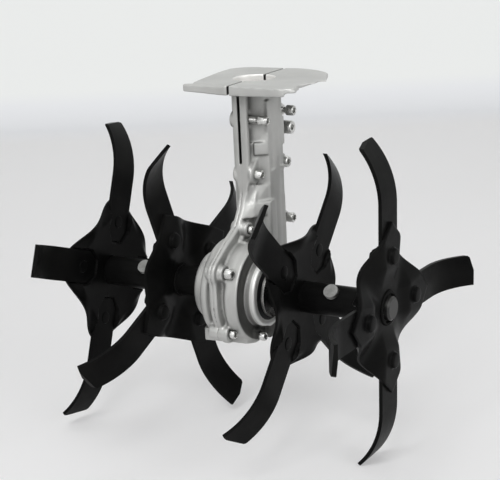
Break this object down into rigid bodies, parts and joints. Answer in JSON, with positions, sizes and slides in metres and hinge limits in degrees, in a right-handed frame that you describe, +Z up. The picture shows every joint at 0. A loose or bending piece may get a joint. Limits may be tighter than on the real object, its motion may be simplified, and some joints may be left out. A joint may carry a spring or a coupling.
{
  "type": "clamp-on rotary tiller head",
  "caption": "Split worm-gear head that clamps on a brush cutter tube and turns two pairs of star rotors with bent tines to till soil.",
  "frame": {"origin": "centre of the tube clamp's mouth, on the top face of the flange", "axes": "+Z up along the tube's axis, +X along the tine shaft towards the side with the screw heads, -Y is the front, where the clamp's slit shows"},
  "size_m": [0.255, 0.2168, 0.2484],
  "materials": {
    "cast_aluminium": "fine sand-cast aluminium with a soft silver coat",
    "black_paint": "satin black paint on steel",
    "zinc_plate": "bright zinc plate",
    "bright_steel": "machined steel",
    "seal_rubber": "black oil-seal rubber"
  },
  "bodies": {
    "gearbox": {"case_left": "cast_aluminium", "case_right": "cast_aluminium", "shaft_seal_left": "seal_rubber", "shaft_seal_right": "seal_rubber"},
    "tine_rotor": {"tine_shaft": "black_paint", "hub_tube_left": "black_paint", "hub_tube_right": "black_paint", "thrust_washer_left": "bright_steel", "thrust_washer_right": "bright_steel", "clevis_pin_left": "zinc_plate", "clevis_pin_right": "zinc_plate", "star_plate_outer_right": "black_paint", "star_plate_inner_right": "black_paint", "star_plate_inner_left": "black_paint", "star_plate_outer_left": "black_paint", "tine_outer_right_a": "black_paint", "tine_outer_right_b": "black_paint", "tine_outer_right_c": "black_paint", "tine_outer_right_d": "black_paint", "tine_inner_right_a": "black_paint", "tine_inner_right_b": "black_paint", "tine_inner_right_c": "black_paint", "tine_inner_right_d": "black_paint", "tine_inner_left_a": "black_paint", "tine_inner_left_b": "black_paint", "tine_inner_left_c": "black_paint", "tine_inner_left_d": "black_paint", "tine_outer_left_a": "black_paint", "tine_outer_left_b": "black_paint", "tine_outer_left_c": "black_paint", "tine_outer_left_d": "black_paint"},
    "worm_input": {"input_coupling": "bright_steel"}
  },
  "joints": [
    {"name": "rotor_spin", "type": "hinge", "parent": "gearbox", "child": "tine_rotor", "pos_m": [0, -0.03, -0.14], "axis": [1, 0, 0], "continuous": true},
    {"name": "input_spin", "type": "hinge", "parent": "gearbox", "child": "worm_input", "pos_m": [0, 0, -0.1], "axis": [0, 0, 1], "continuous": true}
  ],
  "couplings": [
    {"joint": "input_spin", "follows": "rotor_spin", "ratio": 34}
  ]
}
